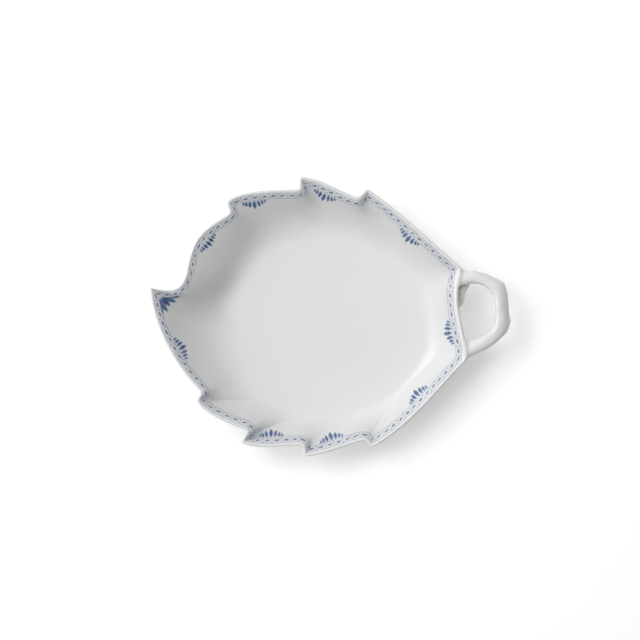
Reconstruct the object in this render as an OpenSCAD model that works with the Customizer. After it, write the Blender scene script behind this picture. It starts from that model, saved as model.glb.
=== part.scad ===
// Leaf shaped dish with a toothed rim, a foot ring and a bent twig for a handle.
// The frame: +X runs from the leaf's apex to the handle, +Y to the side whose lobes start at the hooked apex,
// +Z is up. The origin is on the table, below the middle of the whole dish.

/* [Rim] */
// Length of the rim from the leaf's apex to its stem corners
rim_length = 202; // [184:1:220]
// Width of the rim across the widest lobes
rim_width = 179; // [163:1:195]
// Height of the rim's lowest stretches above the table
rim_height = 33; // [30:0.5:37]
// How far the hooked apex stands above those stretches
apex_rise = 9; // [6:0.5:11]
// Thickness of the wall at the rim, which is rounded over
rim_thickness = 3.2; // [2.6:0.1:3.8]
// Distance between neighbouring stations along the rim
station_gap = 4.2; // [3.8:0.1:5.4]

/* [Floor] */
// Diameter of the floor, where the wall begins
floor_diameter = 104; // [96:1:112]
// Thickness of the floor at its edge
floor_thickness = 4.5; // [4:0.1:5]
// How far the floor dips towards its middle
floor_dip = 1.8; // [1:0.1:2.2]

/* [Foot ring] */
// Outside diameter of the foot ring
foot_diameter = 92; // [84:1:95]
// Height of the foot ring, which lifts the floor off the table
foot_height = 3.5; // [3:0.25:5]
// Thickness of the foot ring where it meets the dish
foot_thickness = 5; // [4:0.25:6]
// Rounding of the foot ring's standing edge
foot_rounding = 1.4; // [1:0.1:1.8]

/* [Handle] */
// How far the handle stands out beyond the stem corners
handle_reach = 29; // [26:0.5:32]
// Distance between the middles of the handle's two roots
handle_span = 46; // [42:0.5:49]
// Thickness of the twig between its knots
handle_thickness = 9; // [8:0.25:10]
// Depth of the twig's middle below the rim, between its knots
handle_drop = 3.6; // [3.2:0.1:5]

/* [Hidden] */

// Where the apex, the middle of the floor and the stem corners lie
overall_length = rim_length + handle_reach;
apex_x = -overall_length / 2;
floor_middle_shares = [0.57, -0.02];
floor_x = apex_x + floor_middle_shares.x * rim_length;
floor_y = floor_middle_shares.y * rim_width;
stem_x = apex_x + rim_length;

// Stretches of rim, clockwise from the apex as seen from above. Each runs between two points, given as shares
// of the rim's length from the apex and of its width from the middle line. Gaps between them are the teeth.
upper_shares = [
    // concave side of the hooked apex, then the rounded shoulder up to the second tooth
    [[0, 0.105], [0.115, 0.17]],
    [[0.115, 0.17], [0.25, 0.37]],
    // second, third and fourth lobes, the last of them running down to the stem
    [[0.24, 0.405], [0.47, 0.455]],
    [[0.47, 0.5], [0.655, 0.425]],
    [[0.685, 0.46], [0.985, 0.175]]
];
// Stem end, inside the handle
stem_shares = [[0.985, 0.175], [1, -0.155]];
lower_shares = [
    // long lobe back from the stem, then three short ones
    [[1, -0.155], [0.7, -0.468]],
    [[0.677, -0.442], [0.485, -0.5]],
    [[0.48, -0.46], [0.285, -0.45]],
    [[0.305, -0.405], [0.145, -0.295]],
    // convex side of the hooked apex
    [[0.16, -0.27], [0, 0.095]]
];
rim_shares = concat(upper_shares, [stem_shares], lower_shares);

// For each stretch, the headings at which it leaves its start and comes to its end, and how far those headings
// hold, as shares of the straight distance between the two
rim_headings = [
    [-12, 80], [80, 32], [70, 0], [0, -20], [-35, -40], [-104, -95],
    [-135, -152], [-165, -175], [-180, 155], [165, 90], [135, 95]
];
hold_shares = [
    [0.5, 0.6], [0.5, 0.45], [0.2, 0.2], [0.35, 0.35], [0.33, 0.33], [0.5, 0.3],
    [0.33, 0.33], [0.33, 0.33], [0.3, 0.3], [0.2, 0.2], [0.33, 0.33]
];

// For each stretch, the bearing on the floor's edge that its start and end are joined to. The joining lines
// lean towards the stem like the veins of a leaf, so every tooth sends a fold down the wall.
vein_bearings = [
    [195, 160], [160, 114], [108, 78], [75, 50], [46, 15], [15, -14],
    [-14, -47], [-52, -78], [-84, -99], [-103, -127], [-132, -165]
];

// For the start and the end of each stretch: the shares of the run where the wall starts and stops bending up,
// how much of its slope it loses again beyond, how much of the apex's rise it has and how far its folds run down
form_shares = [
    [[0.12, 0.64, 0.45, 1, 0.3], [0.14, 0.5, 0.5, 0.85, 0]],
    [[0.14, 0.5, 0.5, 0.85, 0], [0.12, 0.68, 0.35, 0.4, 0]],
    [[0.06, 0.75, 0.2, 0.5, 0], [0.04, 0.75, 0.1, 0.15, 0]],
    [[0.04, 0.8, 0, 0.2, 0], [0.06, 0.8, 0, 0.05, 0.3]],
    [[0.06, 0.85, 0, 0.15, 0.3], [0.25, 0.95, 0, 0.1, 0]],
    [[0.25, 0.95, 0, 0.1, 0], [0.34, 0.97, 0, 0.1, 0]],
    [[0.36, 0.97, 0, 0.1, 0], [0.34, 0.97, 0, 0.2, 0.5]],
    [[0.34, 0.97, 0, 0.1, 0.5], [0.3, 0.95, 0, 0.2, 0.3]],
    [[0.28, 0.95, 0, 0.1, 0.3], [0.24, 0.95, 0, 0.25, 0.7]],
    [[0.22, 0.95, 0, 0.15, 0.7], [0.18, 0.97, 0, 0.45, 0.7]],
    [[0.18, 0.97, 0, 0.4, 0.7], [0.12, 0.97, 0, 1, 0.3]]
];

// How the wall rises from the floor, and where the rings of points lie on the floor, the wall and the rim
bend_power = 1.6;
dip_edge_share = 0.75;
floor_ring_shares = [0.4, 0.75];
wall_shares = [0, 0.12, 0.24, 0.35, 0.45, 0.54, 0.62, 0.7, 0.77, 0.84, 0.9, 0.95, 1];
round_angles = [45, 90, 135, 180];
least_chords = 6;
least_slant_share = 0.5;

// How much wider the rim is along the stem, where the twig's roots run into it
stem_lip_share = 0.3;

// Length of rim over which the wall evens out, as shares of the way in from the rim, away from a fold and on it
plain_share = 0.8;
fold_share = 0.45;

function mix(a, b, t) = a + (b - a) * t;
function clip(a) = min(max(a, 0), 1);
function bend(c, t) =
    c[0] * pow(1 - t, 3) + c[1] * 3 * t * pow(1 - t, 2) + c[2] * 3 * t * t * (1 - t) + c[3] * pow(t, 3);
function direction(v) = v / norm(v);

// Each stretch as a cubic curve: its start, the points its two headings pull towards, and its end
function rim_place(share) = [apex_x + share.x * rim_length, share.y * rim_width];
function towards(heading) = [cos(heading), sin(heading)];
last_stretch = len(rim_shares) - 1;
stem_stretch = len(upper_shares);
stretches = [
    for (k = [0 : last_stretch])
        let (
            start = rim_place(rim_shares[k][0]),
            end = rim_place(rim_shares[k][1]),
            hold = hold_shares[k] * norm(end - start)
        )
            [
                start,
                start + towards(rim_headings[k][0]) * hold[0],
                end - towards(rim_headings[k][1]) * hold[1],
                end
            ]
];

// Stations around the rim: place, bearing on the floor's edge as a direction, form, and one at the stem
function chords(k) = max(least_chords, ceil(norm(stretches[k][3] - stretches[k][0]) / station_gap));
function station(k, t) = concat(
    bend(stretches[k], t),
    towards(mix(vein_bearings[k][0], vein_bearings[k][1], t)),
    mix(form_shares[k][0], form_shares[k][1], t),
    k == stem_stretch ? 1 : 0
);
function opens_notch(k) = k < last_stretch && norm(stretches[k][3] - stretches[k + 1][0]) > rim_thickness / 2;
stations = [
    for (k = [0 : last_stretch])
        each concat(
            [for (j = [0 : chords(k) - 1]) station(k, j / chords(k))],
            opens_notch(k) ? [station(k, 1), (station(k, 1) + station(k + 1, 0)) / 2] : [],
            k == last_stretch ? [station(k, 1)] : []
        )
];
count = len(stations);
around = [0 : count - 1];
rim_points = [for (s = stations) [s[0], s[1]]];

// How far along the rim each station lies, and how much of the rim it stands for
gaps = [for (i = around) norm(rim_points[(i + 1) % count] - rim_points[i])];
along = [for (i = 0, way = 0; i <= count; way = way + gaps[i % count], i = i + 1) way];
spans = [for (i = around) (gaps[i] + gaps[(i + count - 1) % count]) / 2];
function apart(i, j) = let (d = abs(along[i] - along[j])) min(d, along[count] - d);

// Average of a table with one row for each station, weighed by how near the stations are to station i
function averaged(table, i, width) =
    let (weights = [for (j = around) exp(-pow(apart(i, j) / width, 2) / 2) * spans[j]])
        (weights * table) / (weights * [for (j = around) 1]);
forms = [for (i = around) averaged(stations, i, station_gap)];
bend_start = [for (f = forms) f[4]];
bend_stop = [for (f = forms) f[5]];
flare = [for (f = forms) f[6]];
lift = [for (f = forms) f[7]];
fold = [for (f = forms) f[8]];
stem_lip = [for (f = forms) 1 + stem_lip_share * f[9]];

// Plan of each section: where it starts on the floor's edge and which way it runs out
floor_points = [
    for (f = forms) [floor_x, floor_y] + direction([f[2], f[3]]) * floor_diameter / 2
];
function rim_heading(i) = direction(rim_points[(i + 1) % count] - rim_points[(i + count - 1) % count]);

// A section that meets the rim at a slant needs a longer cut through the same thickness of wall
slant = [
    for (i = around)
        1 / max(least_slant_share, abs(cross(rim_heading(i), direction(rim_points[i] - floor_points[i]))))
];
lip = [for (i = around) rim_thickness * slant[i] * stem_lip[i]];

// Outer end and lip of each section for each ring of the wall: the teeth even out on the way down
typical_run = (rim_length + rim_width) / 4 - floor_diameter / 2;
edges = [for (i = around) concat(rim_points[i], lip[i])];
function evening(i, u) = (1 - u) * typical_run * mix(plain_share, fold_share, fold[i]);
function eased(i, u) = evening(i, u) < rim_thickness / 4 ? edges[i] : averaged(edges, i, evening(i, u));
wall_edges = [for (u = wall_shares) [for (i = around) eased(i, u)]];
function run(n, i) = let (edge = wall_edges[n][i]) [edge[0], edge[1]] - floor_points[i];
function inner_run(n, i) = norm(run(n, i)) - wall_edges[n][i][2];

// Heights of the wall's foot and of the edges where the rounding of the rim starts
floor_z = foot_height + floor_thickness;
shoulder_z = [for (i = around) rim_height - rim_thickness / 2 + apex_rise * lift[i]];
function dip(share) = floor_dip * (1 - share * share);

// The wall bends up, then goes on straight or flares out again
function full_slope(i) =
    1 / ((bend_stop[i] - bend_start[i]) / (bend_power + 1) + (1 - bend_stop[i]) * (1 - flare[i] / 2));
function bent(i, u) = clip((u - bend_start[i]) / (bend_stop[i] - bend_start[i]));
function beyond(i, u) = max(u - bend_stop[i], 0);
function rise(i, u) = full_slope(i) * (
    pow(bent(i, u), bend_power + 1) * (bend_stop[i] - bend_start[i]) / (bend_power + 1)
    + beyond(i, u) - flare[i] * pow(beyond(i, u), 2) / (2 * (1 - bend_stop[i]))
);
function steepness(i, u) =
    full_slope(i) * pow(bent(i, u), bend_power) * (1 - flare[i] * beyond(i, u) / (1 - bend_stop[i]));

// Points of a section, n being the ring of the wall
function at(n, i, out, z) = concat(floor_points[i] + direction(run(n, i)) * out, z);
function wall_z(i, u) = mix(floor_z, shoulder_z[i], rise(i, u));
function inner_point(n, i) =
    let (u = wall_shares[n])
        at(n, i, inner_run(n, i) * u, wall_z(i, u) - dip(mix(dip_edge_share, 1, u)));
rim_ring = len(wall_shares) - 1;
function round_point(i, a) = at(
    rim_ring,
    i,
    norm(run(rim_ring, i)) - lip[i] * (1 + cos(a)) / 2,
    shoulder_z[i] + rim_thickness / 2 * sin(a)
);
function wall_thickness(u) = mix(floor_thickness, rim_thickness, u);
function outer_point(n, i) =
    let (
        u = wall_shares[n],
        tilt = atan2((shoulder_z[i] - floor_z) * steepness(i, u), inner_run(n, i)),
        out = inner_run(n, i) * u + wall_thickness(u) * mix(1, slant[i], u) * sin(tilt)
    )
        at(n, i, out, wall_z(i, u) - wall_thickness(u) * cos(tilt));

// Rings of points from the middle of the floor up the inside, over the rim and down the outside
function floor_ring(share) = [
    for (p = floor_points)
        concat(mix([floor_x, floor_y], p, share), floor_z - dip(share * dip_edge_share))
];
floor_rings = [for (share = floor_ring_shares) floor_ring(share)];
inner_rings = [for (n = [0 : rim_ring]) [for (i = around) inner_point(n, i)]];
round_rings = [for (a = round_angles) [for (i = around) round_point(i, a)]];
outer_rings = [for (n = [rim_ring - 1 : -1 : 0]) [for (i = around) outer_point(n, i)]];
bowl_rings = concat(floor_rings, inner_rings, round_rings, outer_rings);

// Skin between the rings of a closed loop, then a fan of faces at each end
function flat(rings) = [for (ring = rings) each ring];
function skin(rings, size) = [
    for (j = [0 : rings - 2], i = [0 : size - 1])
        let (a = j * size + i, b = j * size + (i + 1) % size)
            each [[a, a + size, b + size], [a, b + size, b]]
];
function fan(hub, first, size) = [for (i = [0 : size - 1]) [hub, first + i, first + (i + 1) % size]];
function turned(faces) = [for (f = faces) [f[2], f[1], f[0]]];

module closed_loft(rings, first_hub, last_hub) {
    size = len(rings[0]);
    total = size * len(rings);
    polyhedron(
        points = concat(flat(rings), [first_hub, last_hub]),
        faces = concat(
            skin(len(rings), size),
            fan(total, 0, size),
            turned(fan(total + 1, total - size, size))
        )
    );
}

// Part of the dish's outside about the stem, filled in, that the handle is fitted to
function stations_before(k) =
    k == 0 ? 0 : stations_before(k - 1) + chords(k - 1) + (opens_notch(k - 1) ? 2 : 0);
stem_first = stations_before(stem_stretch) - floor(chords(stem_stretch - 1) / 2);
stem_last = stations_before(stem_stretch + 1) + floor(chords(stem_stretch + 1) / 2);
fitted = [stem_first : stem_last];
crest_z = rim_height + apex_rise + handle_thickness;
function filled(ring) = concat([for (i = fitted) ring[i]], [[floor_x, floor_y, ring[stem_first].z]]);
fitting_rings = concat(
    [[for (p = round_rings[1]) [p.x, p.y, crest_z]], round_rings[1], round_rings[2], round_rings[3]],
    outer_rings
);

// Stations along the twig from its upper root to its lower one: shares of the reach beyond the stem corners
// and of the span, then the width as a share of the thickness and how far the top tips down to the outside
twig_middle_share = 0.0075;
twig_shares = [
    [-0.4, 0.49, 1.25, 0], [-0.06, 0.515, 1.08, 0], [0.1, 0.52, 0.95, 0], [0.25, 0.515, 0.89, 0.1],
    [0.42, 0.482, 0.88, 0.2], [0.57, 0.43, 0.97, 0.3], [0.68, 0.378, 1.2, 0.35], [0.755, 0.3, 1.05, 0.4],
    [0.785, 0.17, 1.03, 0.45], [0.797, 0.03, 1.05, 0.45], [0.812, -0.08, 1.15, 0.4], [0.765, -0.185, 1.08, 0.35],
    [0.67, -0.262, 0.92, 0.25], [0.52, -0.345, 0.86, 0.15], [0.35, -0.41, 0.88, 0.1], [0.17, -0.45, 0.96, 0],
    [-0.02, -0.487, 1.2, 0], [-0.27, -0.52, 1.35, 0]
];
twig_flat_share = 0.9;
twig_steps = 3;
twig_sides = 16;

// Smooth curve through the stations of a twig, each of which sets the pull on both sides of it
function twig_station(table, k) = table[min(max(k, 0), len(table) - 1)];
function through(table, k, t) =
    let (
        a = twig_station(table, k),
        b = twig_station(table, k + 1),
        a_pull = (b - twig_station(table, k - 1)) / 6,
        b_pull = (twig_station(table, k + 2) - a) / 6
    )
        bend([a, a + a_pull, b - b_pull, b], t);
function twig_path(table) = [
    for (n = [0 : (len(table) - 1) * twig_steps])
        let (
            k = min(floor(n / twig_steps), len(table) - 2),
            at_share = through(table, k, n / twig_steps - k)
        )
            [
                stem_x + at_share[0] * handle_reach,
                twig_middle_share * rim_width + at_share[1] * handle_span,
                at_share[2] * handle_thickness / 2,
                at_share[3]
            ]
];

// Flattened round section at every step of a twig's path. Its top stays level, whatever its width.
twig_top = rim_height - handle_drop + twig_flat_share * handle_thickness / 2;
function twig_middle(path, n) =
    [path[n].x, path[n].y, twig_top - path[n][2] * norm([twig_flat_share, path[n][3]])];
function twig_ring(path, n) =
    let (
        before = path[max(n - 1, 0)],
        after = path[min(n + 1, len(path) - 1)],
        heading = direction([after.x - before.x, after.y - before.y]),
        tip = path[n][3]
    )
        [
            for (s = [0 : twig_sides - 1])
                let (a = 360 * s / twig_sides, up = twig_flat_share * sin(a) + tip * cos(a))
                    twig_middle(path, n) + path[n][2] * [heading.y * cos(a), -heading.x * cos(a), up]
        ];

module twig(table) {
    path = twig_path(table);
    last = len(path) - 1;
    closed_loft(
        [for (n = [0 : last]) twig_ring(path, n)],
        twig_middle(path, 0),
        twig_middle(path, last)
    );
}

module leaf_bowl() {
    color("white")
        closed_loft(bowl_rings, [floor_x, floor_y, floor_z - floor_dip], [floor_x, floor_y, foot_height]);
}

module foot_ring() {
    color("ivory")
        translate([floor_x, floor_y, 0])
            rotate_extrude($fn = 180)
                foot_profile();
}

// Half of the foot ring's section: upright outside and inside walls over a rounded standing edge
module foot_profile() {
    outside = foot_diameter / 2;
    inside = outside - foot_thickness;
    difference() {
        translate([inside, 0])
            square([foot_thickness, foot_height]);
        foot_corner(outside, 1);
        foot_corner(inside, -1);
    }
}

// What the rounding takes off a lower corner of that section
module foot_corner(edge, side) {
    difference() {
        translate([edge - foot_rounding, 0])
            translate([side < 0 ? foot_rounding : 0, 0])
                square([foot_rounding, foot_rounding]);
        translate([edge - side * foot_rounding, foot_rounding])
            circle(r = foot_rounding, $fn = 48);
    }
}

// The twig meets the dish along the outside of its wall
module twig_handle() {
    color("white")
        difference() {
            twig(twig_shares);
            closed_loft(
                [for (ring = fitting_rings) filled(ring)],
                [floor_x, floor_y, crest_z],
                [floor_x, floor_y, foot_height]
            );
        }
}

leaf_bowl();
foot_ring();
twig_handle();
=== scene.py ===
"""Leaf shaped porcelain dish with a twig handle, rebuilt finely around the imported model."""
import math

import bpy
import numpy as np
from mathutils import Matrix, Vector
from mathutils.bvhtree import BVHTree


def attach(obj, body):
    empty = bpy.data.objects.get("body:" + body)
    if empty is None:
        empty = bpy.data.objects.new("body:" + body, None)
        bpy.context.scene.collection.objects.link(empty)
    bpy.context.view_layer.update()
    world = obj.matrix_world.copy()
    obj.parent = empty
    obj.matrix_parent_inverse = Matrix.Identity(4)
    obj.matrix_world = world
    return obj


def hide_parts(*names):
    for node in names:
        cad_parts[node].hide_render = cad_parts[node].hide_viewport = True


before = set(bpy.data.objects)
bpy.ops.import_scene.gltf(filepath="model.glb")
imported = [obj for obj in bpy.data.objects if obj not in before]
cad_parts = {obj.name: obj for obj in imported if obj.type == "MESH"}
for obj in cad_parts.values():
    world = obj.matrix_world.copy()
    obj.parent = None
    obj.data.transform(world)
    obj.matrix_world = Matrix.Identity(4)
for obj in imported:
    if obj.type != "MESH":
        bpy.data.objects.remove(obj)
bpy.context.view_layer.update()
MM = 0.001

# Sizes in millimetres, the same as the model's own
RIM_LENGTH, RIM_WIDTH, RIM_HEIGHT, RIM_THICKNESS, RIM_RISE = 202.0, 179.0, 33.0, 3.2, 9.0
FLOOR_DIAMETER, FLOOR_THICKNESS, FLOOR_DIP = 104.0, 4.5, 1.8
FOOT_DIAMETER, FOOT_HEIGHT, FOOT_THICKNESS, FOOT_ROUNDING = 92.0, 3.5, 5.0, 1.4
HANDLE_REACH, HANDLE_SPAN, HANDLE_THICKNESS, HANDLE_DROP = 29.0, 46.0, 9.0, 3.6
APEX_X = -(RIM_LENGTH + HANDLE_REACH) / 2
STEM_X = APEX_X + RIM_LENGTH
# Where the floor's middle is, as shares of length and width
FLOOR_X_SHARE, FLOOR_Y_SHARE = 0.57, -0.02
FLOOR_X, FLOOR_Y = APEX_X + FLOOR_X_SHARE * RIM_LENGTH, FLOOR_Y_SHARE * RIM_WIDTH
FLOOR_Z = FOOT_HEIGHT + FLOOR_THICKNESS
TYPICAL_RUN = (RIM_LENGTH + RIM_WIDTH) / 4 - FLOOR_DIAMETER / 2

# Stretches of rim, clockwise from the apex: ends as shares of length and width, headings at both ends and how
# far they hold. Then, for both ends: the bearing on the floor's edge that they are joined to, the shares of
# the run where the wall starts and stops bending up, how much it flares out again, how much of the apex's
# rise it has and how far the folds run down.
STRETCHES = [
    ((0, 0.105), (0.115, 0.17), (-12, 80), (0.5, 0.6), (195, 160),
     (0.18, 0.19), (0.74, 0.48), (0.3, 0.58), (1, 0.85), (-0.6, 0)),
    ((0.115, 0.17), (0.25, 0.37), (80, 32), (0.5, 0.45), (160, 114),
     (0.19, 0.13), (0.48, 0.67), (0.58, 0.38), (0.85, 0.4), (0, 0)),
    ((0.24, 0.405), (0.47, 0.455), (70, 0), (0.2, 0.2), (108, 78),
     (0.06, 0.04), (0.75, 0.75), (0.2, 0.1), (0.5, 0.15), (0, 0)),
    ((0.47, 0.5), (0.655, 0.425), (0, -20), (0.35, 0.35), (75, 50),
     (0.04, 0.06), (0.8, 0.8), (0, 0), (0.2, 0.05), (0, 0.3)),
    ((0.685, 0.46), (0.985, 0.175), (-35, -40), (0.33, 0.33), (46, 15),
     (0.06, 0.25), (0.85, 0.95), (0, 0), (0.15, 0.1), (0.3, 0)),
    ((0.985, 0.175), (1, -0.155), (-104, -95), (0.5, 0.3), (15, -14),
     (0.25, 0.34), (0.95, 0.97), (0, 0), (0.1, 0.1), (0, 0)),
    ((1, -0.155), (0.7, -0.468), (-135, -152), (0.33, 0.33), (-14, -47),
     (0.36, 0.34), (0.97, 0.97), (0, 0), (0.1, 0.2), (0, 0.5)),
    ((0.677, -0.442), (0.485, -0.5), (-165, -175), (0.33, 0.33), (-52, -78),
     (0.34, 0.3), (0.97, 0.95), (0, 0), (0.1, 0.2), (0.5, 0.3)),
    ((0.48, -0.46), (0.285, -0.45), (-180, 155), (0.3, 0.3), (-84, -99),
     (0.28, 0.24), (0.95, 0.95), (0, 0), (0.1, 0.25), (0.3, 0.7)),
    ((0.305, -0.405), (0.145, -0.295), (165, 90), (0.2, 0.2), (-103, -127),
     (0.22, 0.18), (0.95, 0.97), (0, 0), (0.15, 0.45), (0.7, 0.7)),
    ((0.16, -0.27), (0, 0.095), (135, 95), (0.33, 0.33), (-132, -165),
     (0.24, 0.18), (0.97, 0.86), (-0.3, 0.2), (0.45, 1), (0.6, -0.6)),
]
# How gently the wall's bend sets in
BEND_POWER = 1.6
# The stretch at the stem, and how much wider the rim is there
STEM_STRETCH, STEM_LIP = 5, 0.3
# How far across the rim its highest line runs, as a share of the thickness
LIP_PEAK = 0.72
# Over how many millimetres along the rim the wall evens out, for each millimetre in from the rim
SHORT_FOLDS, LONG_FOLDS = 0.8, 0.45

# Soft creases that run in from the notches: both ends, depth and half width
CREASES = (
    ((-76, -54.6), (-50, -53.6), 1.9, 1.8),
    ((-50, -75.8), (-22, -65.4), 1.9, 1.9),
    ((-5, -80), (9, -71.5), 0.9, 1.6),
    ((26.5, -74.5), (46, -51), 2.6, 1.8),
    ((30.5, 66), (44, 45), 1.2, 1.6),
)

# The twig: reach and span as shares of the handle's, width as a share of its thickness, and how far its top
# tips down to the outside
TWIG = np.array([
    (-0.4, 0.49, 1.25, 0), (-0.06, 0.515, 1.08, 0), (0.1, 0.52, 0.95, 0), (0.25, 0.515, 0.89, 0.1),
    (0.42, 0.482, 0.88, 0.2), (0.57, 0.43, 0.97, 0.3), (0.645, 0.398, 1.08, 0.35), (0.69, 0.37, 1.24, 0.35),
    (0.728, 0.332, 1.1, 0.38), (0.765, 0.27, 1.02, 0.4), (0.785, 0.17, 1.0, 0.45), (0.797, 0.03, 1.02, 0.45),
    (0.8, -0.035, 1.08, 0.42), (0.807, -0.085, 1.17, 0.4), (0.79, -0.14, 1.1, 0.38),
    (0.762, -0.19, 1.04, 0.35), (0.67, -0.262, 0.94, 0.25), (0.52, -0.345, 0.9, 0.15),
    (0.35, -0.41, 0.94, 0.1), (0.17, -0.45, 1.04, 0), (-0.02, -0.487, 1.28, 0), (-0.27, -0.52, 1.4, 0),
])
# The stub of a side shoot that lies along the wall below the twig's upper root, in the same shares
SHOOT = np.array([
    (-0.04, 0.47, 0.85, 0), (-0.035, 0.42, 0.72, 0), (-0.085, 0.345, 0.62, 0), (-0.11, 0.285, 0.56, 0),
    (-0.118, 0.23, 0.58, 0), (-0.135, 0.18, 0.52, 0), (-0.155, 0.14, 0.38, 0), (-0.175, 0.105, 0.14, 0),
])
# The middle of the twig's span, its height as a share of its width, and the level of its top
TWIG_MIDDLE_Y = 0.0075 * RIM_WIDTH
TWIG_FLAT = 0.9
TWIG_TOP = RIM_HEIGHT - HANDLE_DROP + TWIG_FLAT * HANDLE_THICKNESS / 2
# How far the side shoot's top lies below the twig's
SHOOT_DROP = 6.2
# Over what width the twig's roots melt into the wall, below and at the sides, and on top
ROOT_MELT, TOP_MELT = 5.2, 2.6

# Painted border: how far in from the rim its middle runs, half its width, how much further in it runs at the
# stem and less far at the apex, and how long each repeat is
BAND_MIDDLE, BAND_HALF, STEM_BAND, APEX_BAND, MOTIF_PITCH = 4.2, 1.6, 1.0, 1.0, 5.9
# Festoons that hang from it: stretch and place along it
FESTOONS = ((1, 0.47), (2, 0.42), (3, 0.5), (4, 0.52), (5, 0.62), (6, 0.45), (7, 0.5), (8, 0.5), (10, 0.42))
# The spray in the apex: how far from the tip it starts and which way it grows
SPRAY_START, SPRAY_BEARING = 8.2, -40
# Where the spray lies in the map of the festoons
SPRAY_PLACE = 40
# How far a festoon and the spray reach in their map, and the value for a place far from any of the border
FESTOON_REACH, SPRAY_REACH, FAR_AWAY = 14, 16, 99.0


def cubic(c, t):
    """Points of the cubic curve with control points c at the values t."""
    t = np.asarray(t)[:, None]
    return (1 - t) ** 3 * c[0] + 3 * (1 - t) ** 2 * t * c[1] + 3 * (1 - t) * t * t * c[2] + t**3 * c[3]


def towards(degrees):
    """A step of length one at some heading."""
    return np.array([math.cos(math.radians(degrees)), math.sin(math.radians(degrees))])


def stretch_points(start, end, headings, holds, t):
    """Points at the values t on a stretch of rim."""
    a, b = [np.array([APEX_X + p[0] * RIM_LENGTH, p[1] * RIM_WIDTH]) for p in (start, end)]
    hold = np.linalg.norm(b - a) * np.array(holds)
    return cubic([a, a + towards(headings[0]) * hold[0], b - towards(headings[1]) * hold[1], b], t)


STRETCH_STEPS = 240


def rim_channels():
    """The rim as a dense closed list: x, y, bearing as cosine and sine, STRETCHES' shares, 1 at the stem."""
    t = np.linspace(0, 1, STRETCH_STEPS)
    rows = []
    for number, (start, end, headings, holds, bearings, *shares) in enumerate(STRETCHES):
        bearing = np.radians(np.interp(t, (0, 1), bearings))
        rows.append(np.column_stack(
            [stretch_points(start, end, headings, holds, t), np.cos(bearing), np.sin(bearing)]
            + [np.interp(t, (0, 1), pair) for pair in shares] + [np.full(len(t), number == STEM_STRETCH)]
        ))
    return np.vstack(rows)


def closed_smooth(values, sigma):
    """Gaussian smoothing of a closed list of rows, sigma in rows."""
    k = np.fft.fftfreq(len(values)).reshape((-1,) + (1,) * (values.ndim - 1))
    return np.fft.ifft(np.fft.fft(values, axis=0) * np.exp(-2 * (math.pi * k * sigma) ** 2), axis=0).real


def resample(rows, gap):
    """A closed list of rows spaced evenly by the first two columns."""
    closed = np.vstack([rows, rows[:1]])
    along = np.concatenate([[0], np.cumsum(np.linalg.norm(np.diff(closed[:, :2], axis=0), axis=1))])
    n = int(round(along[-1] / gap))
    at = np.arange(n) * along[-1] / n
    return np.column_stack([np.interp(at, along, closed[:, c]) for c in range(closed.shape[1])])


# How far apart the stations on the rim are, over how far their shares even out, and how blunt the outline's
# corners are, plainly and at the apex
GAP, EVEN_OUT = 0.7, 4.0
BLUNT_CORNER, SHARP_CORNER = 1.3, 0.5
# The smallest slant at which the rim's thickness is measured, and how soon the apex turns sharp
LEAST_SLANT, APEX_POWER = 0.5, 4
rim = resample(rim_channels(), GAP)
rim[:, 2:] = closed_smooth(rim[:, 2:], EVEN_OUT / GAP)
blunt, sharp = [closed_smooth(rim[:, :2], radius / GAP) for radius in (BLUNT_CORNER, SHARP_CORNER)]
rim[:, :2] = blunt + (sharp - blunt) * np.clip(rim[:, 7:8], 0, 1) ** APEX_POWER
rim_xy = rim[:, :2]
STATIONS = len(rim)
bearing = rim[:, 2:4] / np.linalg.norm(rim[:, 2:4], axis=1)[:, None]
bend_start, bend_stop, flare, lift, fold, stem = rim[:, 4:].T
middle = np.array([FLOOR_X, FLOOR_Y])
floor_xy = middle + bearing * FLOOR_DIAMETER / 2
heading = np.roll(rim_xy, -1, 0) - np.roll(rim_xy, 1, 0)
heading /= np.linalg.norm(heading, axis=1)[:, None]
outward = rim_xy - floor_xy
reach = np.linalg.norm(outward, axis=1)
outward /= reach[:, None]
across_rim = np.abs(heading[:, 0] * outward[:, 1] - heading[:, 1] * outward[:, 0])
slant = 1 / np.maximum(LEAST_SLANT, across_rim)
lip = RIM_THICKNESS * slant * (1 + STEM_LIP * stem)
shoulder_z = RIM_HEIGHT - RIM_THICKNESS / 2 + RIM_RISE * lift
full = 1 / ((bend_stop - bend_start) / (BEND_POWER + 1) + (1 - bend_stop) * (1 - flare / 2))


def rise(u):
    """How far up the wall is at a share u of its run."""
    bent = np.clip((u - bend_start) / (bend_stop - bend_start), 0, 1) ** (BEND_POWER + 1)
    beyond = np.maximum(u - bend_stop, 0)
    straight = beyond - flare * beyond**2 / (2 * (1 - bend_stop))
    return full * (bent * (bend_stop - bend_start) / (BEND_POWER + 1) + straight)


def steepness(u):
    """How steeply the wall rises there."""
    bend = np.clip((u - bend_start) / (bend_stop - bend_start), 0, 1) ** BEND_POWER
    return full * bend * (1 - flare * np.maximum(u - bend_stop, 0) / (1 - bend_stop))


def wall_run(u):
    """Direction, length and lip of the wall's run at a share u of it: folds even out away from the rim."""
    away = TYPICAL_RUN * (1 - u)
    edge = np.column_stack([rim_xy, lip])
    short, long = [closed_smooth(edge, away * k / GAP) for k in (SHORT_FOLDS, LONG_FOLDS)]
    edge = short + (long - short) * fold[:, None]
    run = edge[:, :2] - floor_xy
    length = np.linalg.norm(run, axis=1)
    return run / length[:, None], length, edge[:, 2]


# The floor dips a little towards the middle, and the dip goes on under the foot of the wall
FLOOR_SHARES, BELOW_SHARES = (0.05, 0.2, 0.4, 0.6, 0.75, 0.88, 0.95), (0.9, 0.75, 0.5, 0.25, 0.05)
DIP_SHARE = 0.75
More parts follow.
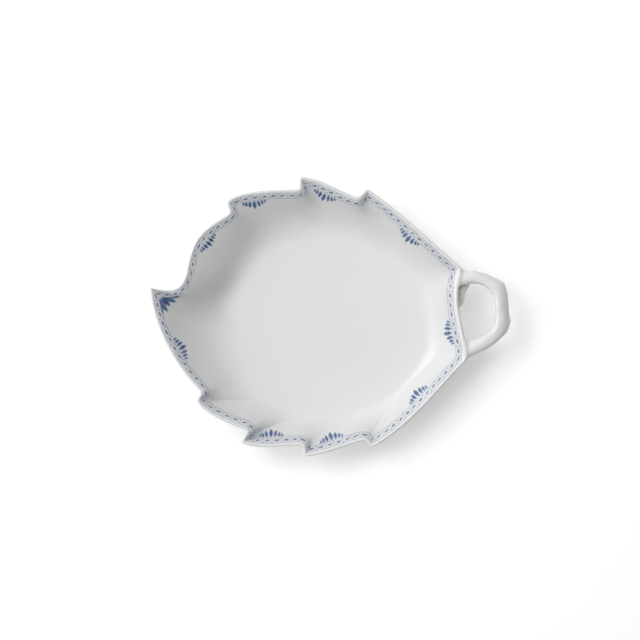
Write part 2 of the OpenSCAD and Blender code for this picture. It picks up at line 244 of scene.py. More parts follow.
# Rings up the inside, over the lip and down the outside, and how much closer together the inner ones get
# near the rim
WALL_RINGS, LIP_RINGS, OUTER_RINGS, RING_POWER = 46, 15, 30, 1.15
# Where on the run the outside's first ring is, and how steeply a crease fades out towards the rim
OUTER_TOP, CREASE_FADE = 0.97, 12
# How steeply the lip's slope goes on up from the wall
LIP_POWER = 1.4


def dip(share):
    """How far the floor has dipped at a share of the way out."""
    return FLOOR_DIP * max(1 - share * share, 0)


def crease(xy):
    """How deep the creases are at some places, before they fade out towards the rim."""
    depth = np.zeros(len(xy))
    for start, end, deepest, width in CREASES:
        start, way = np.array(start), np.array(end) - start
        length = np.linalg.norm(way)
        along = (xy - start) @ way / length**2
        across = (xy - start) @ (way[1], -way[0]) / length
        share = np.clip(1 - along, 0, 1) * np.clip(1 + along * length / 3, 0, 1)
        depth += deepest * share * np.exp(-((across / width) ** 2))
    return depth


def inner_ring(u):
    """Ring on the inside of the wall at a share u of its run, with the creases pressed in."""
    direction, length, back = wall_run(u)
    xy = floor_xy + direction * ((length - back) * u)[:, None]
    z = FLOOR_Z - dip(DIP_SHARE + (1 - DIP_SHARE) * u) + (shoulder_z - FLOOR_Z) * rise(u)
    return np.column_stack([xy, z - crease(xy) * min(1, (1 - u) * CREASE_FADE)])


def lip_ring(degrees):
    """Ring on the rounding of the rim: a slope that goes on up from the wall, and then a tight round edge."""
    direction, length, _ = wall_run(1)
    if degrees < 90:
        across, up = LIP_PEAK * degrees / 90, 1 - (1 - degrees / 90) ** LIP_POWER
    else:
        turn = math.radians(degrees - 90)
        across, up = LIP_PEAK + (1 - LIP_PEAK) * math.sin(turn), math.cos(turn)
    xy = floor_xy + direction * (length - lip * (1 - across))[:, None]
    return np.column_stack([xy, shoulder_z + RIM_THICKNESS / 2 * up])


def outer_ring(u):
    """Ring on the outside of the wall, as far off the inside as the wall is thick there."""
    direction, length, back = wall_run(u)
    tilt = np.arctan2((shoulder_z - FLOOR_Z) * steepness(u), length - back)
    wall = FLOOR_THICKNESS * (1 - u) + RIM_THICKNESS * u
    along = (length - back) * u + wall * (1 + (slant - 1) * u) * np.sin(tilt)
    z = FLOOR_Z + (shoulder_z - FLOOR_Z) * rise(u) - wall * np.cos(tilt)
    return np.column_stack([floor_xy + direction * along[:, None], z])


def floor_ring(share, z):
    """Level ring at a share of the way from the floor's middle to its edge."""
    return np.column_stack([middle + (floor_xy - middle) * share, np.full(STATIONS, z)])


def bowl_rings():
    """Rings from the middle of the floor up the inside, over the rim, down the outside and in below."""
    rings = [floor_ring(share, FLOOR_Z - dip(share * DIP_SHARE)) for share in FLOOR_SHARES]
    rings += [inner_ring(u) for u in 1 - (1 - np.linspace(0, 1, WALL_RINGS)) ** RING_POWER]
    rings += [lip_ring(a) for a in np.linspace(0, 180, LIP_RINGS)[1:]]
    rings += [outer_ring(u) for u in np.linspace(OUTER_TOP, 0, OUTER_RINGS)]
    rings += [floor_ring(share, FOOT_HEIGHT) for share in BELOW_SHARES]
    return rings


def skin(rings, hubs):
    """Points and faces of a closed skin through rings of equal length, with a hub point at each end."""
    size, total = len(rings[0]), len(rings[0]) * len(rings)
    points = np.vstack(list(rings) + [[hubs[0]], [hubs[1]]])
    i = np.arange(size)
    faces = []
    for j in range(len(rings) - 1):
        a, b = j * size + i, j * size + (i + 1) % size
        faces += np.column_stack([a, b, b + size, a + size]).tolist()
    last = total - size
    faces += np.column_stack([np.full(size, total), (i + 1) % size, i]).tolist()
    faces += np.column_stack([np.full(size, total + 1), last + i, last + (i + 1) % size]).tolist()
    return points, faces


def add_piece(name, skins):
    """One object out of one or more closed skins, in millimetres."""
    points, faces = [], []
    for more_points, more_faces in skins:
        shift = sum(len(p) for p in points)
        points.append(more_points)
        faces += [[v + shift for v in face] for face in more_faces]
    mesh = bpy.data.meshes.new(name)
    mesh.from_pydata((np.vstack(points) * MM).tolist(), [], faces)
    mesh.update()
    mesh.shade_smooth()
    piece = bpy.data.objects.new(name, mesh)
    bpy.context.scene.collection.objects.link(piece)
    return piece


rings = bowl_rings()
bowl_skin = skin(rings, ([*middle, FLOOR_Z - FLOOR_DIP], [*middle, FOOT_HEIGHT]))
bowl = add_piece("leaf_bowl", [bowl_skin])
wall_tree = BVHTree.FromPolygons(bowl_skin[0].tolist(), bowl_skin[1])


# Border: how many points are looked up at a time, how many rings at the foot of the wall its map leaves out,
# how many rings of the lip it covers, how far its bends even out, and the least that it moves on in a tight
# bend. Beyond those rings the rim has the body's plain white.
BATCH, BELOW_BORDER, LIP_BORDER, BEND_EVEN, LEAST_PACE = 4000, 12, 6, 1.5, 0.05


def nearest_on_rim(points):
    """How far each point is from the outline, and how far along it the nearest outline point is."""
    a, b = rim_xy, np.roll(rim_xy, -1, 0)
    ab = b - a
    best, place = np.full(len(points), 1e9), np.zeros(len(points))
    for k in range(0, len(points), BATCH):
        p = points[k:k + BATCH, None, :]
        t = np.clip(((p - a) * ab).sum(-1) / (ab * ab).sum(-1), 0, 1)
        gap = (((p - a) - t[..., None] * ab) ** 2).sum(-1)
        nearest = gap.argmin(1)
        rows = np.arange(len(nearest))
        best[k:k + BATCH] = np.sqrt(gap[rows, nearest])
        place[k:k + BATCH] = nearest + t[rows, nearest]
    return best, place


def border_maps():
    """For each point of the dish, repeats along the band and millimetres in from the rim. Then the number of
    repeats, and for each point millimetres along and below a festoon or the spray, or far away."""
    turn = np.roll(heading, -1, 0)
    bend = np.arcsin(np.clip(heading[:, 0] * turn[:, 1] - heading[:, 1] * turn[:, 0], -1, 1)) / GAP
    pace = np.maximum(1 + closed_smooth(bend, BEND_EVEN / GAP) * BAND_MIDDLE, LEAST_PACE) * GAP
    band = np.concatenate([[0], np.cumsum(pace)])
    count = round(band[-1] / MOTIF_PITCH)
    points = len(bowl.data.vertices)
    border, festoon = np.tile([0.0, FAR_AWAY], (points, 1)), np.full((points, 2), FAR_AWAY)
    inner = len(FLOOR_SHARES) + WALL_RINGS
    first, last = len(FLOOR_SHARES) + BELOW_BORDER, inner + LIP_BORDER
    inside = slice(first * STATIONS, last * STATIONS)
    gap, place = nearest_on_rim(np.vstack(rings[first:last])[:, :2])
    stations = np.arange(STATIONS + 1)
    along = np.interp(place, stations, band)
    border[inside, 0] = along * count / band[-1]
    shift = STEM_BAND * stem - APEX_BAND * lift
    border[inside, 1] = gap - np.interp(place, stations, np.append(shift, shift[0]))
    t = np.linspace(0, 1, 101)
    for stretch, share in FESTOONS:
        spot = stretch_points(*STRETCHES[stretch][:4], t)[round(share * 100)]
        middle_of_it = band[np.linalg.norm(rim_xy - spot, axis=1).argmin()]
        off = (along - middle_of_it + band[-1] / 2) % band[-1] - band[-1] / 2
        below = border[inside, 1] - BAND_MIDDLE - BAND_HALF
        near = (np.abs(off) < FESTOON_REACH) & (np.abs(below) < FESTOON_REACH)
        festoon[inside] = np.where(near[:, None], np.column_stack([off, below]), festoon[inside])
    ahead = towards(SPRAY_BEARING)
    offset = np.vstack(rings[:inner])[:, :2] - rim_xy[rim_xy[:, 0].argmin()] - ahead * SPRAY_START
    near = np.linalg.norm(offset, axis=1) < SPRAY_REACH
    sideways = offset[:, 0] * ahead[1] - offset[:, 1] * ahead[0]
    spray = np.column_stack([sideways, offset @ ahead + SPRAY_PLACE])
    festoon[:inner * STATIONS][near] = spray[near]
    return border, count, festoon


def lay_map(name, values, wrap=None):
    """A UV map out of a value for each point, kept whole across the seam where the count starts again."""
    mesh = bowl.data
    corners = np.empty(len(mesh.loops), dtype=np.int32)
    mesh.loops.foreach_get("vertex_index", corners)
    uv = values[corners]
    if wrap:
        totals, starts = np.empty(len(mesh.polygons), np.int32), np.empty(len(mesh.polygons), np.int32)
        mesh.polygons.foreach_get("loop_total", totals)
        mesh.polygons.foreach_get("loop_start", starts)
        low, high = [np.repeat(f.reduceat(uv[:, 0], starts), totals) for f in (np.minimum, np.maximum)]
        uv[:, 0] += np.where((high - low > wrap / 2) & (uv[:, 0] < wrap / 2), wrap, 0)
    mesh.uv_layers.new(name=name).data.foreach_set("uv", uv.ravel())


border, repeats, festoon = border_maps()
lay_map("Border", border, repeats)
lay_map("Festoon", festoon)


# Handle
def through(table, steps):
    """Rows on a smooth curve through the rows of a table."""
    rows = []
    for k in range(len(table) - 1):
        before, a, b, after = [table[min(max(k + d, 0), len(table) - 1)] for d in (-1, 0, 1, 2)]
        rows.append(cubic([a, a + (b - before) / 6, b - (after - a) / 6, b], np.arange(steps) / steps))
    return np.vstack(rows + [table[-1:]])


SIDE_COUNT = 56
SIDES = np.radians(np.arange(SIDE_COUNT) * 360 / SIDE_COUNT)
# Steps between the rows of a table and how square the section is, for the twig and for the shoot
TWIG_STEPS, TWIG_POWER, SHOOT_STEPS, SHOOT_POWER = 16, 2.3, 10, 2.2
# Rings of a melted root, places between the roots, rounds of melting, and how deep a root's end is sunk
ROOT_RINGS, STEM_RINGS, MELT_ROUNDS, ROOT_SINK = 14, 170, 8, 0.3
# How far a round of melting goes, the least pull that it counts with, how close to a skin its own direction
# holds, how fast the melt thins out towards the top, and how deep in the wall the twig's ends are closed
MELT_STEP, LEAST_PULL, CLOSE_GAP, THINNING, HUB_DEPTH = 0.8, 0.4, 0.02, 0.7, 1.5


def twig_grid(table, steps, top, power):
    """Centres, outward directions and radii of a twig's rings: a flattened round square, level on top."""
    rows = through(table, steps)
    xy = np.column_stack([STEM_X + rows[:, 0] * HANDLE_REACH, TWIG_MIDDLE_Y + rows[:, 1] * HANDLE_SPAN])
    along = np.gradient(xy, axis=0)
    along /= np.linalg.norm(along, axis=1)[:, None]
    radius, tip = rows[:, 2] * HANDLE_THICKNESS / 2, rows[:, 3:]
    c, s = [np.sign(f) * np.abs(f) ** (2 / power) for f in (np.cos(SIDES), np.sin(SIDES))]
    out = np.stack([along[:, 1:] * c, -along[:, :1] * c, TWIG_FLAT * s + tip * c], -1)
    centres = np.column_stack([xy, top - out[:, :, 2].max(1) * radius])
    return centres, out, radius


def distance(tree, points):
    """Distance from a closed skin, less than nothing inside it, and the direction away from it."""
    gaps, away = [], []
    for p in points.reshape(-1, 3):
        place, normal, _, gap = tree.find_nearest(Vector(p))
        off = Vector(p) - place
        side = 1 if off.dot(normal) >= 0 else -1
        gaps.append(side * gap)
        away.append(off * (side / gap) if gap > CLOSE_GAP else normal)
    return np.reshape(gaps, points.shape[:-1]), np.reshape(away, points.shape)


def melted(points, tree, width):
    """Points moved onto the skin of the twig where it melts into the dish over the given width."""
    for _ in range(MELT_ROUNDS):
        (twig_gap, twig_away), (wall_gap, wall_away) = distance(tree, points), distance(wall_tree, points)
        share = np.clip(0.5 + (wall_gap - twig_gap) / (2 * width), 0, 1)
        gap = share * twig_gap + (1 - share) * wall_gap - share * (1 - share) * width
        away = share[..., None] * twig_away + (1 - share[..., None]) * wall_away
        length = np.maximum(np.linalg.norm(away, axis=-1), LEAST_PULL)
        points = points - away * (MELT_STEP * gap / length**2)[..., None]
    return points


def handle_rings():
    """The twig's rings, each side of it running on until it melts into the wall at both roots."""
    centres, out, radius = twig_grid(TWIG, TWIG_STEPS, TWIG_TOP, TWIG_POWER)
    grid = centres[:, None] + out * radius[:, None, None]
    plain = skin(grid[:, ::-1], (centres[0], centres[-1]))
    tree = BVHTree.FromPolygons(plain[0].tolist(), plain[1])
    width = ROOT_MELT - (ROOT_MELT - TOP_MELT) * np.maximum(np.sin(SIDES), 0) ** THINNING
    gaps = distance(wall_tree, grid)[0]
    count, half = len(grid), len(grid) // 2
    turns = np.radians(np.linspace(0, 90, ROOT_RINGS))

    def on_lines(at):
        """Places and outward directions on the twig's lengthwise lines, between its rings."""
        below = np.clip(at.astype(int), 0, count - 2)
        part = (at - below)[..., None]
        side = np.arange(len(SIDES))
        away = out[below, side] / np.linalg.norm(out[below, side], axis=-1, keepdims=True)
        return grid[below, side] * (1 - part) + grid[below + 1, side] * part, away

    ends, roots = [], []
    for order in (np.arange(half, -1, -1), np.arange(half, count)):
        at = np.empty((len(turns), len(SIDES)))
        for side in range(len(SIDES)):
            falling = np.minimum.accumulate(gaps[order, side])
            at[:, side] = np.interp(-width[side] * (1 - np.sin(turns)), -falling, order)
        ends.append(at[0])
        points, away = on_lines(at)
        points = points + away * (width * (1 - np.cos(turns))[:, None])[..., None]
        points = melted(points, tree, width)
        points[-1] -= distance(wall_tree, points[-1])[1] * ROOT_SINK
        roots.append(points)
    share = np.linspace(0, 1, STEM_RINGS)[1:-1, None]
    stem_part = on_lines(ends[0] * (1 - share) + ends[1] * share)[0]
    return np.vstack([roots[0][::-1], stem_part, roots[1]])


twig = handle_rings()
hubs = twig[[0, -1]].mean(1) - [[HUB_DEPTH, 0, 0]]
twig_skin = skin(twig[:, ::-1], hubs)
centres, out, radius = twig_grid(SHOOT, SHOOT_STEPS, TWIG_TOP - SHOOT_DROP, SHOOT_POWER)
shoot = centres[:, None] + out * radius[:, None, None]
shoot_skin = skin(shoot[:, ::-1], (centres[0], centres[-1]))
handle = add_piece("twig_handle", [twig_skin, shoot_skin])


# Foot ring: how many points go round it and round its edges, and how far it reaches up into the floor
FOOT_POINTS, ARC_POINTS, FOOT_OVERLAP = 256, 7, 0.2


def foot_skin():
    """Points and faces of the turned ring, with rounded lower edges."""
    outside, inside, top = FOOT_DIAMETER / 2, FOOT_DIAMETER / 2 - FOOT_THICKNESS, FOOT_HEIGHT + FOOT_OVERLAP
    arc = np.radians(np.linspace(0, 90, ARC_POINTS))
    profile = [(outside, top)]
    profile += [(outside - FOOT_ROUNDING * (1 - math.cos(a)), FOOT_ROUNDING * (1 - math.sin(a))) for a in arc]
    profile += [(inside + FOOT_ROUNDING * (1 - math.sin(a)), FOOT_ROUNDING * (1 - math.cos(a))) for a in arc]
    profile += [(inside, top)]
    turns = np.radians(np.arange(FOOT_POINTS) * 360 / FOOT_POINTS)
    cosines, sines = np.cos(turns), np.sin(turns)
    points = np.vstack([
        np.column_stack([FLOOR_X + r * cosines, FLOOR_Y + r * sines, np.full(FOOT_POINTS, z)])
        for r, z in profile
    ])
    faces = []
    for j in range(len(profile)):
        here, there = j * FOOT_POINTS, (j + 1) % len(profile) * FOOT_POINTS
        for i in range(FOOT_POINTS):
            after = (i + 1) % FOOT_POINTS
            faces.append((here + i, there + i, there + after, here + after))
    return points, faces


foot = add_piece("foot_ring", [foot_skin()])


# Materials
class Graph:
    """A material with short ways to add and join its nodes."""

    def __init__(self, name):
        self.material = bpy.data.materials.new(name)
        self.material.use_nodes = True
        self.tree = self.material.node_tree
        self.shader = self.tree.nodes["Principled BSDF"]

    def put(self, socket, value):
        """Link a socket to another, or set its value."""
        if isinstance(value, bpy.types.NodeSocket):
            self.tree.links.new(value, socket)
        else:
            socket.default_value = value

    def add(self, kind, values=(), **settings):
        """A new node with values for its inputs and with settings of its own."""
        node = self.tree.nodes.new("ShaderNode" + kind)
        for key, value in settings.items():
            setattr(node, key, value)
        for key, value in dict(values).items():
            self.put(node.inputs[key], value)
        return node

    def math(self, operation, *values):
        """The result of an operation on some values."""
        return self.add("Math", enumerate(values), operation=operation).outputs[0]

    def ramp(self, value, low, high, to_low=0.0, to_high=1.0):
        """Smooth step of a value from low to high."""
        values = {"Value": value, "From Min": low, "From Max": high, "To Min": to_low, "To Max": to_high}
        return self.add("MapRange", values, interpolation_type="SMOOTHSTEP").outputs[0]

    def mix(self, share, a, b):
        """Colour a, or b where the share is one."""
        node = self.add("Mix", data_type="RGBA")
        for socket, value in zip((node.inputs[0], node.inputs[6], node.inputs[7]), (share, a, b)):
            self.put(socket, value)
        return node.outputs[2]

    def taper(self, part):
        """One in the middle of a brush mark, and nothing at its ends, where part is 1 or -1."""
        return self.math("SUBTRACT", 1.0, self.math("MULTIPLY", part, part))

    def noise(self, scale, detail):
        """Even noise in object space, scale in features per metre."""
        vector = self.add("TexCoord").outputs["Object"]
        return self.add("TexNoise", {"Vector": vector, "Scale": scale, "Detail": detail}).outputs["Fac"]

    def pair(self, name):
        """The two values of a UV map."""
        split = self.add("SeparateXYZ", {"Vector": self.add("UVMap", uv_map=name).outputs[0]})
        return split.outputs[0], split.outputs[1]


# Colours: the body and its faint patches, a lighter white at the rim (partly its thin glaze, partly painted
# light), iron specks, paint and its wash, and the bare body on the standing edge
WHITE, PATCH_WHITE = (0.79, 0.79, 0.785, 1), (0.783, 0.785, 0.785, 1)
RIM_GLAZE_AND_PAINTED_LIGHT, IRON = (0.87, 0.867, 0.858, 1), (0.35, 0.33, 0.3, 1)
COBALT, WASH = (0.012, 0.050, 0.19, 1), (0.30, 0.50, 0.74, 1)
BARE_DARK, BARE_PALE = (0.66, 0.62, 0.55, 1), (0.74, 0.70, 0.63, 1)
# Slow waves of the hand-worked body: how many per metre, and the distance of the bump in metres
BOWL_WAVES, HANDLE_WAVES = (45, 0.0012), (85, 0.009)
# The glaze's roughness, how strongly it bumps, and how high the orange peel is beside the waves
GLAZE_ROUGHNESS, BUMP_STRENGTH, PEEL_SHARE = 0.25, 0.25, 0.02
# How many features per metre each noise has: orange peel, patches, specks and where they lie, the wobble of
# the brush, the load of paint on it, the broken lines, and the foot's glaze edge and grain
PEEL_NOISE, PATCH_NOISE, SPECK_NOISE, SPECK_FIELD = 450, 18, 160.0, 60
WOBBLE_NOISE, LOAD_NOISE, LINE_NOISE = 230, 380, 190
FOOT_EDGE_NOISE, FOOT_GRAIN_NOISE = 120, 2600
# From where to where the rim's lighter white (thin glaze and painted light) fades inwards, and the light
# paint's share of a full load
RIM_GLAZE_AND_LIGHT_FADE, PAINT_LOAD = (0.6, 2.2), (0.75, 1.0)
# How dark a speck is, how much of the full paint shows, how much of the rim's lighter white the handle gets
# as painted light, and how far below the band a drop begins
SPECK_SHARE, PAINT_SHARE, HANDLE_PAINTED_LIGHT, DROP_GAP = 0.25, 0.95, 0.9, 0.1
# Above which heights the foot is glazed, how uneven that edge is, and how rough the bare and glazed parts are
FOOT_GLAZE, FOOT_UNEVEN, BARE_ROUGHNESS, FOOT_ROUGHNESS = (0.0007, 0.001), 0.0006, 0.7, 0.17


def finish_glaze(graph, colour, waves=BOWL_WAVES):
    """Glaze over a colour: a faint orange peel, and slow waves from the hand-worked body."""
    graph.put(graph.shader.inputs["Base Color"], colour)
    graph.put(graph.shader.inputs["Roughness"], GLAZE_ROUGHNESS)
    wave = graph.noise(waves[0], 1)
    peel = graph.math("MULTIPLY", graph.noise(PEEL_NOISE, 2), PEEL_SHARE)
    height = graph.math("ADD", wave, peel)
    bump = graph.add("Bump", {"Height": height, "Strength": BUMP_STRENGTH, "Distance": waves[1]})
    graph.put(graph.shader.inputs["Normal"], bump.outputs[0])


def body_colour(graph):
    """White porcelain, hardly uneven, with a few fine iron specks."""
    patch = graph.ramp(graph.noise(PATCH_NOISE, 1), 0.2, 0.8)
    colour = graph.mix(patch, WHITE, PATCH_WHITE)
    speck = graph.add("TexVoronoi", {"Scale": SPECK_NOISE, "Vector": graph.add("TexCoord").outputs["Object"]})
    near = graph.ramp(speck.outputs["Distance"], 0.035, 0.05, 1, 0)
    grain = graph.math("MULTIPLY", near, graph.ramp(graph.noise(SPECK_FIELD, 1), 0.62, 0.64))
    return graph.mix(graph.math("MULTIPLY", grain, SPECK_SHARE), colour, IRON)


def drop_shape(graph, along, below, middle, turn, length, half_width):
    """How far inside a pointed drop a point is: it hangs from the band at a place, turned by some degrees."""
    c, s = math.cos(math.radians(turn)), math.sin(math.radians(turn))
    along = graph.math("SUBTRACT", along, middle)
    forward = graph.math("ADD", graph.math("MULTIPLY", below, c), graph.math("MULTIPLY", along, s))
    sideways = graph.math("SUBTRACT", graph.math("MULTIPLY", along, c), graph.math("MULTIPLY", below, s))
    part = graph.math("DIVIDE", graph.math("SUBTRACT", forward, length / 2 + DROP_GAP), length / 2)
    half = graph.math("MULTIPLY", graph.taper(part), half_width)
    return graph.math("SUBTRACT", half, graph.math("ABSOLUTE", sideways))


# Marks of the band: half length, half width and slope of a stroke, how far the brush wobbles along and
# across, how far the dots are from the middle, and from where to where the edges of stroke, dot and line fade
STROKE_REACH, STROKE_HALF, STROKE_SLOPE = 1.8, 0.46, 0.12
WOBBLE_ALONG, WOBBLE_ACROSS, DOT_PLACE = 3.0, 0.8, 0.85
STROKE_EDGE, DOT_EDGE, LINE_EDGE = (-0.05, 0.15), (0.22, 0.44), (0.08, 0.26)
# How dark the dots are, how dark the broken lines get, and how strong the wash between them is
DOT_DARK, LINE_DARK, BAND_WASH = 0.75, (0.25, 0.55), 0.16


def band_marks(graph, wobble):
    """The band: how dark its strokes and dots are, and how much wash lies on it."""
    repeat, inward = graph.pair("Border")
    x = graph.math("MULTIPLY", graph.math("SUBTRACT", graph.math("FRACT", repeat), 0.5), MOTIF_PITCH)
    across = graph.math("MULTIPLY", wobble, WOBBLE_ACROSS)
    y = graph.math("ADD", graph.math("SUBTRACT", inward, BAND_MIDDLE), across)
    tilted = graph.math("ADD", y, graph.math("MULTIPLY", x, STROKE_SLOPE))
    moved = graph.math("ADD", x, graph.math("MULTIPLY", wobble, WOBBLE_ALONG))
    part = graph.math("DIVIDE", moved, STROKE_REACH)
    stroke_half = graph.math("MULTIPLY", graph.taper(part), STROKE_HALF)
    stroke = graph.ramp(graph.math("SUBTRACT", stroke_half, graph.math("ABSOLUTE", tilted)), *STROKE_EDGE)
    shifted = graph.math("SUBTRACT", graph.math("FRACT", graph.math("ADD", repeat, 0.5)), 0.5)
    dot_x = graph.math("MULTIPLY", shifted, MOTIF_PITCH)
    dot_y = graph.math("SUBTRACT", graph.math("ABSOLUTE", y), DOT_PLACE)
    squares = [graph.math("MULTIPLY", side, side) for side in (dot_x, dot_y)]
    dot_gap = graph.math("SQRT", graph.math("ADD", *squares))
    dots = graph.ramp(dot_gap, *DOT_EDGE, DOT_DARK, 0)
    line_gap = graph.math("ABSOLUTE", graph.math("SUBTRACT", graph.math("ABSOLUTE", y), BAND_HALF))
    broken = graph.ramp(graph.noise(LINE_NOISE, 2), 0.35, 0.6, *LINE_DARK)
    lines = graph.math("MULTIPLY", graph.ramp(line_gap, *LINE_EDGE, 1, 0), broken)
    wash = graph.ramp(graph.math("ABSOLUTE", y), BAND_HALF - 0.1, BAND_HALF + 0.2, BAND_WASH, 0)
    return graph.math("MAXIMUM", graph.math("MAXIMUM", stroke, dots), lines), wash, inward


# How strong the wash round a drop is, and how dark the line round it
HALO_WASH, DROP_LINE = 0.7, 0.45
# Drops of a festoon and leaves of the spray: place along, turn in degrees, length and half width. All but
# the first come in pairs, one to each side.
DROPS = ((0, 0, 5.2, 1.35), (2.5, 14, 4.2, 1.15), (4.7, 22, 3.2, 0.95), (6.6, 28, 2.2, 0.75))
LEAVES = ((0, 0, 8.0, 1.5), (0.8, 20, 10.0, 1.5), (1.4, 38, 12.0, 1.4))


def both_sides(marks):
    """The first of some marks, and then each of the others and its mirror image."""
    mirrored = [[(place * side, turn * side, *size) for side in (1, -1)] for place, turn, *size in marks[1:]]
    return [marks[0]] + [mark for pair in mirrored for mark in pair]


def festoon_marks(graph, inward, wobble):
    """The festoons and the spray: how dark their drops are, and how much wash lies round them."""
    along, below = graph.pair("Festoon")
    along = graph.math("ADD", along, wobble)
    shapes = [drop_shape(graph, along, below, *drop) for drop in both_sides(DROPS)]
    onward = graph.math("SUBTRACT", below, SPRAY_PLACE)
    shapes += [drop_shape(graph, along, onward, *leaf) for leaf in both_sides(LEAVES)]
    inside = shapes[0]
    for shape in shapes[1:]:
        inside = graph.math("MAXIMUM", inside, shape)
    band_end = BAND_MIDDLE + BAND_HALF
    under_band = graph.ramp(inward, band_end - 0.1, band_end + 0.15)
    core = graph.math("MULTIPLY", graph.ramp(inside, 0.14, 0.38), under_band)
    outline = graph.ramp(graph.math("ABSOLUTE", inside), 0.02, 0.16, DROP_LINE, 0)
    edge = graph.math("MULTIPLY", outline, under_band)
    halo = graph.math("MULTIPLY", graph.ramp(inside, -0.25, 0.0, 0, HALO_WASH), under_band)
    return graph.math("MAXIMUM", core, edge), halo


def painted_bowl():
    """Body glaze with the border painted under it: a band between two lines, the festoons and the spray."""
    graph = Graph("bowl_glaze")
    wobble = graph.math("SUBTRACT", graph.noise(WOBBLE_NOISE, 2), 0.5)
    band_dark, band_wash, inward = band_marks(graph, wobble)
    drop_dark, drop_wash = festoon_marks(graph, inward, wobble)
    load = graph.ramp(graph.noise(LOAD_NOISE, 3), 0.25, 0.7, *PAINT_LOAD)
    dark = graph.math("MULTIPLY", graph.math("MAXIMUM", band_dark, drop_dark), load)
    # Lighter white towards the rim: partly its thin glaze, partly painted light for a rim that stands up into
    # the light
    edge = graph.ramp(inward, *RIM_GLAZE_AND_LIGHT_FADE, 1, 0)
    colour = graph.mix(edge, body_colour(graph), RIM_GLAZE_AND_PAINTED_LIGHT)
    washed = graph.math("MULTIPLY", graph.math("MAXIMUM", band_wash, drop_wash), load)
    colour = graph.mix(washed, colour, WASH)
    finish_glaze(graph, graph.mix(graph.math("MULTIPLY", dark, PAINT_SHARE), colour, COBALT))
    return graph.material


def plain_glaze():
    """The handle's glaze, without cobalt, mostly the rim's lighter white as painted light, with stronger
    waves.
    """
    graph = Graph("handle_glaze")
    # The handle takes mostly the rim's lighter white: painted light for its top, which stands up out of the
    # dish's shade
    finish_glaze(graph, graph.mix(HANDLE_PAINTED_LIGHT, body_colour(graph), RIM_GLAZE_AND_PAINTED_LIGHT), HANDLE_WAVES)
    return graph.material


def foot_porcelain():
    """Glaze that was wiped off the standing edge, where the bare body is cream and rough."""
    graph = Graph("foot_porcelain")
    height = graph.add("SeparateXYZ", {"Vector": graph.add("TexCoord").outputs["Object"]}).outputs[2]
    centred = graph.math("SUBTRACT", graph.noise(FOOT_EDGE_NOISE, 2), 0.5)
    uneven = graph.math("MULTIPLY", centred, FOOT_UNEVEN)
    glazed = graph.ramp(graph.math("ADD", height, uneven), *FOOT_GLAZE)
    grain = graph.ramp(graph.noise(FOOT_GRAIN_NOISE, 3), 0.3, 0.7)
    bare = graph.mix(grain, BARE_DARK, BARE_PALE)
    finish_glaze(graph, graph.mix(glazed, bare, body_colour(graph)))
    graph.put(graph.shader.inputs["Roughness"], graph.ramp(glazed, 0.0, 1.0, BARE_ROUGHNESS, FOOT_ROUGHNESS))
    return graph.material


for piece, node, slot, material in (
    (bowl, "leaf_bowl", "bowl_glaze", painted_bowl()), (handle, "twig_handle", "handle_glaze", plain_glaze()),
    (foot, "foot_ring", "foot_porcelain", foot_porcelain()),
):
    piece.data.materials.append(material)
    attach(piece, "root")
    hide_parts(node)

# White ground: it takes the shadow, and shines a little to the camera and in reflections
GROUND_GLOW, GROUND_HALF, PAPER_WHITE = 0.318, 3, (0.9, 0.9, 0.9, 1)
ground_mesh = bpy.data.meshes.new("ground")
ground_corners = [(x * GROUND_HALF, y * GROUND_HALF, 0) for x, y in ((-1, -1), (1, -1), (1, 1), (-1, 1))]
ground_mesh.from_pydata(ground_corners, [], [(0, 1, 2, 3)])
ground = bpy.data.objects.new("ground", ground_mesh)
bpy.context.scene.collection.objects.link(ground)
paper = Graph("studio_paper")
rays = paper.add("LightPath").outputs
seen = paper.math("MAXIMUM", rays["Is Camera Ray"], rays["Is Glossy Ray"])
seen = paper.math("MAXIMUM", seen, rays["Is Transmission Ray"])
glow = paper.add("Emission", {"Strength": paper.math("MULTIPLY", seen, GROUND_GLOW)})
matt = paper.add("BsdfDiffuse", {"Color": PAPER_WHITE})
both = paper.add("AddShader", {0: matt.outputs[0], 1: glow.outputs[0]})
paper.put(paper.tree.nodes["Material Output"].inputs["Surface"], both.outputs[0])
ground_mesh.materials.append(paper.material)

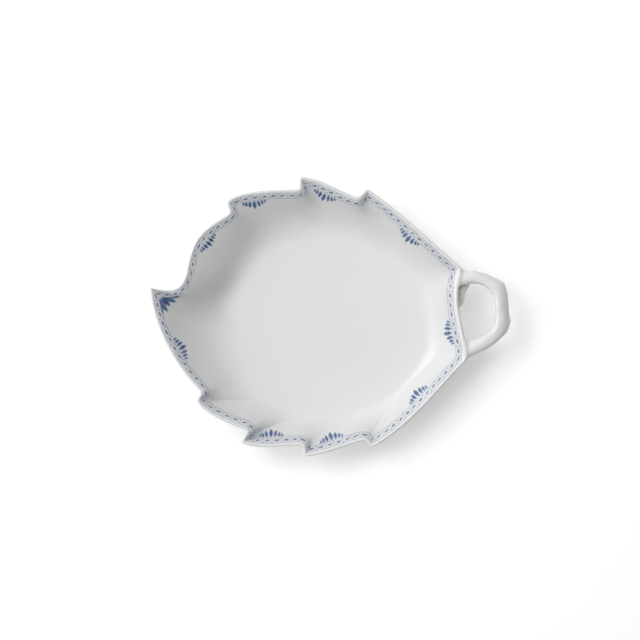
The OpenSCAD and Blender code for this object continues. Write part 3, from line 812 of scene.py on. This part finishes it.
WORLD_STRENGTH = 0.17
world = bpy.data.worlds.new("studio")
world.use_nodes = True
world.node_tree.nodes["Background"].inputs["Color"].default_value = (1, 1, 1, 1)
world.node_tree.nodes["Background"].inputs["Strength"].default_value = WORLD_STRENGTH
bpy.context.scene.world = world

# Soft lamps from the left round to the upper right of the picture, and a strip that alone shines in the
# glaze: azimuth, elevation, width, height and energy
LAMP_DISTANCE = 1.3
LAMPS = (
    ("key_lamp", 150, 62, 0.6, 0.6, 6.5),
    ("right_lamp", 60, 62, 0.6, 0.6, 2.85),
    ("left_lamp", 195, 38, 0.8, 0.8, 5.5),
    ("far_lamp", 118, 38, 0.8, 0.8, 3.3),
    ("shine_strip", 156, 42, 0.5, 0.9, 4.5),
)
for name, azimuth, elevation, width, height, energy in LAMPS:
    lamp = bpy.data.lights.new(name, "AREA")
    lamp.shape = "RECTANGLE"
    lamp.size, lamp.size_y, lamp.energy = width, height, energy
    lamp_object = bpy.data.objects.new(name, lamp)
    turn, tip = math.radians(azimuth), math.radians(elevation)
    direction = Vector((math.cos(tip) * math.cos(turn), math.cos(tip) * math.sin(turn), math.sin(tip)))
    lamp_object.location = direction * LAMP_DISTANCE
    lamp_object.rotation_euler = direction.to_track_quat("Z", "Y").to_euler()
    lamp_object.visible_glossy = name == "shine_strip"
    lamp_object.visible_diffuse = name != "shine_strip"
    bpy.context.scene.collection.objects.link(lamp_object)

# Camera straight above: the picture's width in pixels and a pixel's size in millimetres at the rim's level.
# The heights and the camera's place are in metres.
PICTURE_PIXELS, PIXEL_SIZE = 640, 0.6388
WIDTH_SEEN, CAMERA_HEIGHT, RIM_LEVEL = PICTURE_PIXELS * PIXEL_SIZE * MM, 1.5, 0.034
CAMERA_X, CAMERA_Y = -0.0073, -0.0021
camera = bpy.data.cameras.new("camera")
camera.lens = camera.sensor_width * (CAMERA_HEIGHT - RIM_LEVEL) / WIDTH_SEEN
camera_object = bpy.data.objects.new("camera", camera)
camera_object.location = (CAMERA_X, CAMERA_Y, CAMERA_HEIGHT)
bpy.context.scene.collection.objects.link(camera_object)
bpy.context.scene.camera = camera_object

bpy.context.scene.view_settings.view_transform = "Standard"
